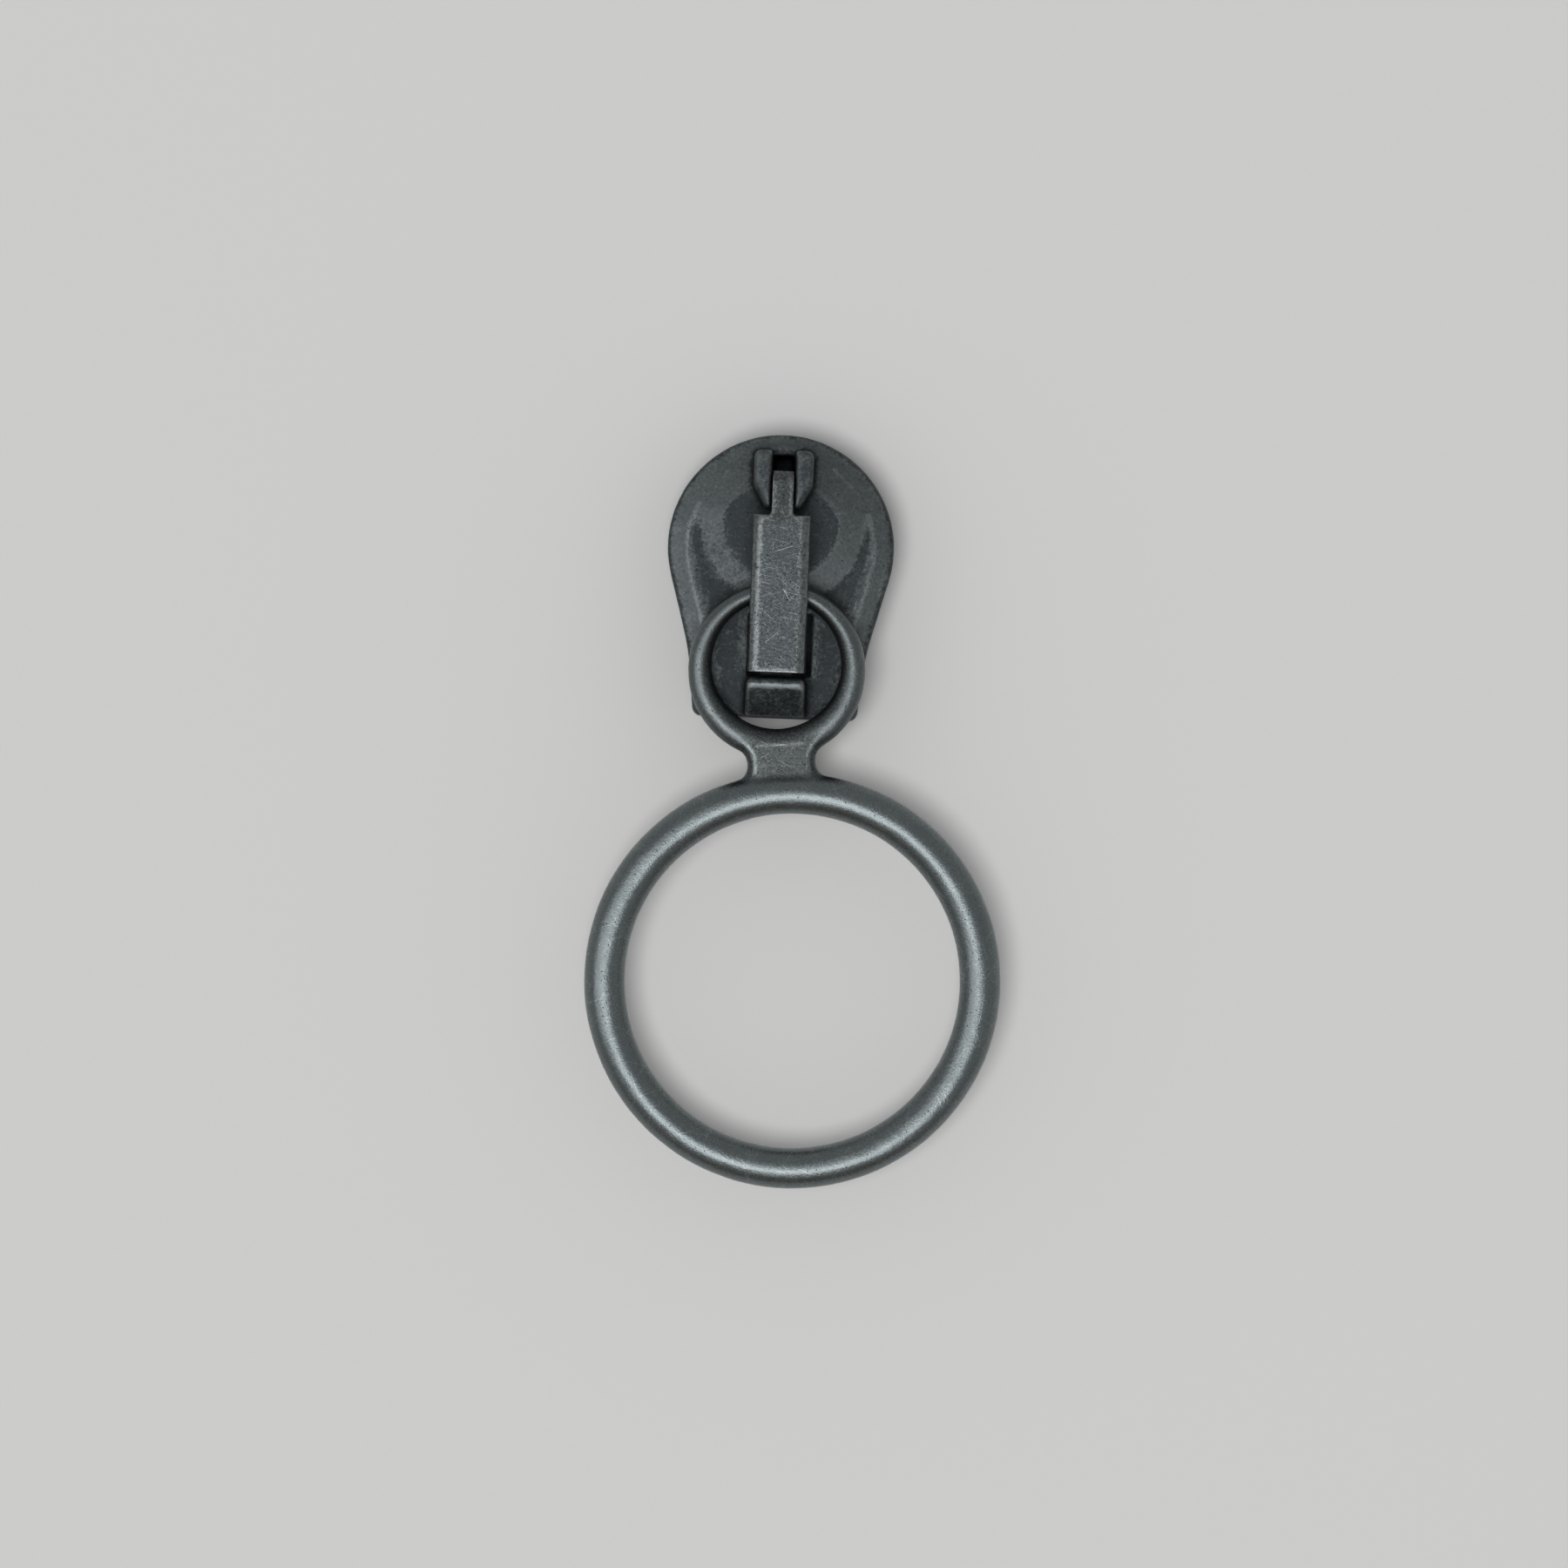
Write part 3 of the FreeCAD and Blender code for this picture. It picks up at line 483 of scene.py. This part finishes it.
# %% Make the puller with a rounded small ring
PULLER_CELL = 0.095
HOLE_CENTRE = Vector((0, -4.2503, 5.5140))
PULLER_TILT, PULLER_SWING = math.radians(2.958), math.radians(5.06)
HOLE_RADIUS, EYE_RADIUS, EYE_SHIFT, EYE_HALF = 3.12, 4.28, 0.29, 0.6
EYE_MARGIN = 0.3
NECK_INNER, NECK_OUTER = 1.5, 2.3

puller = even_copy("ring_puller", "ring_puller_casting", PULLER_CELL)
relax(puller.data, 3)

turn = (Matrix.Translation(HOLE_CENTRE) @ Matrix.Rotation(PULLER_TILT, 4, "X")
        @ Matrix.Rotation(PULLER_SWING, 4, "Z"))
puller.data.transform(turn.inverted())
points = read_points(puller.data)
distance, sideways = np.hypot(points[:, 0], points[:, 1]), np.abs(points[:, 0])
away = points[:, :2] / distance[:, None]
shift = -EYE_SHIFT * away[:, 1]
outer = shift + np.sqrt(shift ** 2 - EYE_SHIFT ** 2 + EYE_RADIUS ** 2)
half_width = (outer - HOLE_RADIUS) / 2
across, height = distance - HOLE_RADIUS - half_width, points[:, 2]
reach = np.hypot(across / half_width, height / EYE_HALF)
side = fade_in(sideways, NECK_INNER, NECK_OUTER - NECK_INNER)
beside_neck = np.where((across > 0) & (points[:, 1] < 0), side * side * (3 - 2 * side), 1.0)
on_eye = (distance < outer + EYE_MARGIN) * beside_neck
factor = 1 + (1 / reach - 1) * on_eye
points[:, :2] = away * (HOLE_RADIUS + half_width + across * factor)[:, None]
points[:, 2] = height * factor
write_points(puller.data, points)
print("rounded", int((on_eye > 0.5).sum()), "vertices of the small ring")

# %% [markdown]
# The neck's flat top lies lower than both rings. It and the inner side of the small ring
# get painted shade, which keeps them dark. Only the neck's two side ridges and a rough line
# where it meets the small ring are rubbed bright. These places are found while the puller
# lies in its own plane. Then it is turned back.

# %% Find the painted shade and the rubbed places of the puller
NECK_START, NECK_STEP, NECK_END = -3.1, -3.86, -5.75
NECK_SIDES, NECK_SHADE_SHARE, STEP_SHARE = 1.1, 0.7, 0.6
INNER_SHADE_LEAST, INNER_SHADE_MOST = 0.22, 0.7

sideways, along = np.abs(points[:, 0]), points[:, 1]
# Painted shade on the inner side of the small ring.
inner_painted_shade = np.clip(-across / half_width + 0.25, INNER_SHADE_LEAST, INNER_SHADE_MOST) * (distance < outer)
neck = (fade_out(sideways, NECK_OUTER, 0.5) * fade_out(along, NECK_START, 0.3)
        * fade_in(along, NECK_END, 0.25))
at_neck_sides = fade_in(sideways, NECK_SIDES, 0.15)
neck_top = STEP_SHARE * bell(along, NECK_STEP, 0.07) * (1 - at_neck_sides)

puller.data.transform(turn)
relax(puller.data, 2)
add_waves(puller.data, 1.9, 0.012, 7.0)
crest = measure_crest(puller.data, "crest", 10, 2)
neck_ridge = neck * np.maximum(fade_in(crest, 0.5, 1.2) * at_neck_sides, neck_top)
# Painted shade on the neck's flat top, except on its rubbed ridges.
neck_painted_shade = NECK_SHADE_SHARE * neck * (1 - neck_ridge)
write_attribute(puller.data, "neck_ridge", neck_ridge)
write_attribute(puller.data, "painted_shade", np.maximum(inner_painted_shade, neck_painted_shade))
print("neck", int((neck > 0.5).sum()), "vertices")

# %% [markdown]
# ## Shared effects
# Three effects occur on all three pieces, so each is a node group: fine scratches from the
# tumbling, small pits, and the wear that follows crest. A group only puts out masks and
# heights. Each material decides what they do to its colour, roughness and bumps.
#
# A few small helpers make nodes, set their sockets and keep the code short.

# %% Helpers for nodes
def add(tree, kind, settings=None, **sockets):
    """A node in the tree. settings are its options; sockets are values or outputs to link,
    named by the socket with spaces as _ or by its number as _0, _1 ..."""
    node = tree.nodes.new(kind)
    for option, value in (settings or {}).items():
        setattr(node, option, value)
    for name, value in sockets.items():
        key = int(name[1:]) if name[0] == "_" else name.replace("_", " ")
        socket = node.inputs[key]
        if isinstance(value, bpy.types.NodeSocket):
            tree.links.new(value, socket)
        else:
            socket.default_value = value
    return node


def math_node(tree, operation, *values, clamp=False):
    """The output of a Math node for those values or outputs."""
    sockets = {f"_{i}": value for i, value in enumerate(values)}
    settings = {"operation": operation, "use_clamp": clamp}
    return add(tree, "ShaderNodeMath", settings, **sockets).outputs[0]


def ramp(tree, value, low, high):
    """0 up to low, 1 from high on, and smooth between."""
    node = add(tree, "ShaderNodeMapRange", {"interpolation_type": "SMOOTHSTEP"},
               Value=value, From_Min=low, From_Max=high)
    return node.outputs["Result"]


def new_group(name, inputs, outputs):
    """A shader node group with those float inputs and defaults, and float outputs."""
    tree = bpy.data.node_groups.new(name, "ShaderNodeTree")
    for label, value in inputs.items():
        socket = tree.interface.new_socket(label, in_out="INPUT", socket_type="NodeSocketFloat")
        socket.default_value = value
    for label in outputs:
        tree.interface.new_socket(label, in_out="OUTPUT", socket_type="NodeSocketFloat")
    return tree, tree.nodes.new("NodeGroupInput").outputs, tree.nodes.new("NodeGroupOutput").inputs


def place_in_mm(tree):
    """The place on the object in millimetres."""
    here = tree.nodes.new("ShaderNodeTexCoord").outputs["Object"]
    scaled = add(tree, "ShaderNodeVectorMath", {"operation": "SCALE"}, _0=here, Scale=1 / MM)
    return scaled.outputs[0]


# %% [markdown]
# Scratches are noise that is stretched fifty times in one direction and then cut off high,
# so that only hairlines are left. Six directions make a crossing pattern. A broad noise
# leaves some areas nearly free of them.

# %% Group: fine scratches
SCRATCH_ANGLES = (12, 38, 67, 98, 124, 161)


def build_scratches():
    tree, given, result = new_group(
        "fine_scratches", {"Width": 15.0, "Length": 0.3, "Amount": 0.5}, ["Mask"])
    here = place_in_mm(tree)
    lines = None
    for step, angle in enumerate(SCRATCH_ANGLES):
        turned = add(tree, "ShaderNodeMapping", _0=here,
                     Location=(step * 7.3, step * 3.1, 0),
                     Rotation=(0, 0, math.radians(angle))).outputs[0]
        size = add(tree, "ShaderNodeCombineXYZ", X=given["Length"], Y=given["Width"],
                   Z=given["Length"]).outputs[0]
        stretched = add(tree, "ShaderNodeVectorMath", {"operation": "MULTIPLY"},
                        _0=turned, _1=size).outputs[0]
        grain = add(tree, "ShaderNodeTexNoise", Vector=stretched, Scale=1.0, Detail=0.0)
        line = ramp(tree, grain.outputs["Fac"], 0.7, 0.8)
        lines = line if lines is None else math_node(tree, "MAXIMUM", lines, line)
    patches = add(tree, "ShaderNodeTexNoise", Vector=here, Scale=0.8, Detail=2.0)
    shown = ramp(tree, patches.outputs["Fac"], 0.3, 0.6)
    tree.links.new(math_node(tree, "MULTIPLY", math_node(tree, "MULTIPLY", lines, shown),
                             given["Amount"]), result["Mask"])
    return tree


scratches_group = build_scratches()
print("scratches in", len(SCRATCH_ANGLES), "directions")

# %% [markdown]
# Pits are the dots of a Voronoi texture. Each cell has a random colour, and only cells
# under a chosen value get a pit, so the pits lie irregularly.

# %% Group: small pits
def build_pits():
    tree, given, result = new_group(
        "small_pits", {"Per mm": 7.0, "Radius": 0.3, "Share": 0.3}, ["Mask"])
    here = place_in_mm(tree)
    cells = add(tree, "ShaderNodeTexVoronoi", Vector=here, Scale=given["Per mm"])
    chance = add(tree, "ShaderNodeSeparateColor", Color=cells.outputs["Color"]).outputs[0]
    chosen = math_node(tree, "LESS_THAN", chance, given["Share"])
    edge = math_node(tree, "DIVIDE", cells.outputs["Distance"], given["Radius"])
    dot = math_node(tree, "SUBTRACT", 1.0, ramp(tree, edge, 0.45, 1.0))
    tree.links.new(math_node(tree, "MULTIPLY", dot, chosen), result["Mask"])
    return tree


pits_group = build_pits()
print("pits ready")

# %% [markdown]
# Wear turns crest into two masks: Rubbed on the edges, where bare metal shows, and Soot in
# the inner corners, where the black stays. Noise moves both borders, so that the wear looks
# ragged like the real one.

# %% Group: wear that follows crest
CREST_SWING = 4.0


def build_wear():
    tree, given, result = new_group(
        "crest_wear", {"Low": 0.6, "High": 2.0, "Soot": 0.6, "Ragged": 0.5}, ["Rubbed", "Soot"])
    here = place_in_mm(tree)
    crest = add(tree, "ShaderNodeAttribute", {"attribute_name": "crest"}).outputs["Fac"]
    rough = add(tree, "ShaderNodeTexNoise", Vector=here, Scale=5.0, Detail=4.0).outputs["Fac"]
    swing = math_node(tree, "MULTIPLY", math_node(tree, "SUBTRACT", rough, 0.5), given["Ragged"])
    moved = math_node(tree, "MULTIPLY_ADD", swing, CREST_SWING, crest)
    deep = math_node(tree, "MULTIPLY", moved, -1.0)
    soot = math_node(tree, "DIVIDE", deep, given["Soot"], clamp=True)
    tree.links.new(ramp(tree, moved, given["Low"], given["High"]), result["Rubbed"])
    tree.links.new(soot, result["Soot"])
    return tree


wear_group = build_wear()
print("wear ready")

# %% [markdown]
# ## The finishes
# All three finishes are bare plated metal, so Metallic is 1 and the colour is the colour
# of the reflection. One function builds the shared layers: a cloudy change of tone, wear
# and soot, painted shade, scratches that catch light, and pits that hold black. On the
# casting some paler places are painted light. The numbers differ: the body is dark, rough
# and grainy, the strip has the most scratches, and the puller is the palest and smoothest.

# %% Build a blackened metal
MARK_HALF_WIDTH, MARK_SHARE = 0.03, 0.5
CLOUD_SWING, SPECK_SWING = 1.0, 1.5
SOOT_COVER = 0.85
BARE_SMOOTHER, TONE_ROUGHER, SOOT_ROUGHER = 0.08, 0.25, 0.25
SCRATCH_DEPTH, BUMP_HEIGHT = 0.5, 0.014 * MM


def mix(tree, share, first, second):
    """Mix two colours."""
    node = add(tree, "ShaderNodeMix", {"data_type": "RGBA"})
    sockets = {"Factor": node.inputs[0], "A": node.inputs[6], "B": node.inputs[7]}
    for key, value in (("Factor", share), ("A", first), ("B", second)):
        if isinstance(value, bpy.types.NodeSocket):
            tree.links.new(value, sockets[key])
        else:
            sockets[key].default_value = value
    return node.outputs[2]


def blackened_metal(name, dark, worn, soot, roughness, cloud, scratch, pit, wear, grain,
                    paler_by_wear_and_light=(), marks=()):
    """A blackened metal with worn edges. dark, worn and soot are its three colours.

    cloud gives broad changes of tone: how many per millimetre and how strong. grain gives
    fine specks: how many per millimetre, how strong and how high. scratch, pit and wear set
    the three groups. The list of paler places names attributes that make places paler, by
    wear and on the casting partly by painted light: name, where it starts, where it is full,
    how much. marks are single scratches: middle x and y, angle and half length. An attribute
    of painted shade keeps its places black, in the soot colour."""
    material, shader = new_material(name, dark, roughness, 1.0)
    tree = material.node_tree
    here = place_in_mm(tree)
    clouds_per_mm, cloud_tone = cloud
    specks_per_mm, speck_tone, speck_height = grain

    edges = add(tree, "ShaderNodeGroup", {"node_tree": wear_group}, **wear)
    lines = add(tree, "ShaderNodeGroup", {"node_tree": scratches_group}, **scratch)
    dots = add(tree, "ShaderNodeGroup", {"node_tree": pits_group}, **pit)
    clouds = add(tree, "ShaderNodeTexNoise", Vector=here, Scale=clouds_per_mm, Detail=5.0,
                 Roughness=0.6).outputs["Fac"]
    specks = add(tree, "ShaderNodeTexNoise", Vector=here, Scale=specks_per_mm, Detail=3.0,
                 Roughness=0.7).outputs["Fac"]

    broad = math_node(tree, "SUBTRACT", clouds, 0.5)
    fine = math_node(tree, "SUBTRACT", specks, 0.5)
    tone = math_node(tree, "MULTIPLY", broad, cloud_tone)
    tone = math_node(tree, "MULTIPLY_ADD", fine, speck_tone, tone)
    scored = lines.outputs["Mask"]
    for x, y, angle, half_length in marks:
        along = add(tree, "ShaderNodeMapping", {"vector_type": "TEXTURE"}, _0=here,
                    Location=(x, y, 0), Rotation=(0, 0, math.radians(angle)),
                    Scale=(half_length, MARK_HALF_WIDTH, 100))
        reach = add(tree, "ShaderNodeVectorMath", {"operation": "LENGTH"}, _0=along.outputs[0])
        mark = math_node(tree, "SUBTRACT", 1.0, ramp(tree, reach.outputs["Value"], 0.4, 1.0))
        scored = math_node(tree, "MULTIPLY_ADD", mark, MARK_SHARE, scored)
    bare = math_node(tree, "MAXIMUM", edges.outputs["Rubbed"], scored)
    bare = math_node(tree, "ADD", bare, tone)
    for attribute, low, high, amount in paler_by_wear_and_light:
        field = add(tree, "ShaderNodeAttribute", {"attribute_name": attribute}).outputs["Fac"]
        uneven = math_node(tree, "MULTIPLY_ADD", broad, CLOUD_SWING * (high - low), field)
        uneven = math_node(tree, "MULTIPLY_ADD", fine, SPECK_SWING * (high - low), uneven)
        bare = math_node(tree, "MULTIPLY_ADD", ramp(tree, uneven, low, high), amount, bare)
    bare = math_node(tree, "MAXIMUM", bare, 0.0, clamp=True)
    black = math_node(tree, "MAXIMUM", edges.outputs["Soot"], dots.outputs["Mask"])
    # Painted shade from the attribute read here joins soot and pits and takes the soot colour.
    painted_shade_mix = add(tree, "ShaderNodeAttribute", {"attribute_name": "painted_shade"}).outputs["Fac"]
    painted_shade_mix = math_node(tree, "MULTIPLY", painted_shade_mix, math_node(tree, "MULTIPLY_ADD", specks, -1.6, 1.8))
    black = math_node(tree, "MAXIMUM", black, painted_shade_mix, clamp=True)

    color = mix(tree, bare, dark, worn)
    color = mix(tree, math_node(tree, "MULTIPLY", black, SOOT_COVER), color, soot)
    tree.links.new(color, shader.inputs["Base Color"])

    rough = math_node(tree, "MULTIPLY_ADD", bare, -BARE_SMOOTHER, roughness)
    rough = math_node(tree, "MULTIPLY_ADD", tone, TONE_ROUGHER, rough)
    rough = math_node(tree, "MULTIPLY_ADD", black, SOOT_ROUGHER, rough, clamp=True)
    tree.links.new(rough, shader.inputs["Roughness"])

    height = math_node(tree, "MULTIPLY", specks, speck_height)
    height = math_node(tree, "MULTIPLY_ADD", scored, -SCRATCH_DEPTH, height)
    height = math_node(tree, "MULTIPLY_ADD", dots.outputs["Mask"], -1.0, height)
    bumps = add(tree, "ShaderNodeBump", Strength=1.0, Distance=BUMP_HEIGHT, Height=height)
    tree.links.new(bumps.outputs["Normal"], shader.inputs["Normal"])
    return material


# %% Finish of the casting, the strip and the puller
# The slope and lug entries below are partly painted light: the slopes' side shares and the lug
# crown's highlight.
casting_finish = blackened_metal(
    "blackened_casting", dark=(0.037, 0.0435, 0.0465, 1), worn=(0.17, 0.19, 0.193, 1),
    soot=(0.014, 0.013, 0.012, 1), roughness=0.57, cloud=(1.1, 0.25),
    scratch={"Amount": 0.1}, pit={"Per mm": 6.0, "Share": 0.07, "Radius": 0.22},
    wear={"Low": 1.6, "High": 5.0, "Soot": 3.0, "Ragged": 0.6}, grain=(6.5, 0.75, 1.3),
    paler_by_wear_and_light=(("slope_wear_and_light", 0.1, 0.9, 0.4), ("wide_crest", 1.0, 9.0, 0.3),
            ("rim_line", 0.2, 1.0, 0.32), ("lug_wear_and_highlight", 0.1, 0.7, 0.8)),
    marks=((3.29, 0.37, 58, 0.3), (3.7, -1.3, 75, 0.4), (-3.2, 0.6, 110, 0.3)))
strip_finish = blackened_metal(
    "blackened_strip", dark=(0.059, 0.0685, 0.071, 1), worn=(0.36, 0.385, 0.385, 1),
    soot=(0.02, 0.021, 0.02, 1), roughness=0.36, cloud=(1.2, 0.15),
    scratch={"Amount": 0.28, "Width": 17.0, "Length": 0.55},
    pit={"Per mm": 8.0, "Share": 0.16, "Radius": 0.3},
    wear={"Low": 0.8, "High": 2.6, "Soot": 2.0, "Ragged": 0.25}, grain=(7.0, 0.85, 1.1),
    paler_by_wear_and_light=(("wide_crest", 0.6, 2.4, 0.3),),
    marks=((0.11, 1.28, 19, 0.66), (-0.29, -2.99, 42, 0.63), (0.35, -0.9, 120, 0.4)))
puller_finish = blackened_metal(
    "blackened_puller", dark=(0.13, 0.148, 0.152, 1), worn=(0.40, 0.43, 0.43, 1),
    soot=(0.018, 0.018, 0.017, 1), roughness=0.29, cloud=(0.7, 0.2),
    scratch={"Amount": 0.2, "Length": 0.5}, pit={"Per mm": 7.0, "Share": 0.12, "Radius": 0.25},
    wear={"Low": 3.0, "High": 5.5, "Soot": 2.5, "Ragged": 0.4}, grain=(10.0, 0.85, 0.9),
    paler_by_wear_and_light=(("neck_ridge", 0.15, 0.8, 0.2),),
    marks=((0.3, -8.15, 8, 0.5), (-0.5, -8.05, 160, 0.35), (-0.4, -8.7, 28, 0.5),
           (0.5, -9.0, 150, 0.4), (0.9, -8.3, 60, 0.25)))
print("three finishes")

# %% [markdown]
# ## Put the pieces in place
# Each piece is made small again, gets its finish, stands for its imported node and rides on
# the same body, so that it follows the joints.

# %% Finish, place and hand over the pieces
for piece, node, body, slot, material in (
        (casting, "slider_body", "body", "gunmetal_casting", casting_finish),
        (strip, "lock_strip", "lock", "gunmetal_strip", strip_finish),
        (puller, "ring_puller", "puller", "gunmetal_puller", puller_finish)):
    piece.data.transform(Matrix.Scale(MM, 4))
    piece.data.materials.append(material)
    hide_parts(node)
    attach(piece, body)
    print(piece.name, "rides on", body)
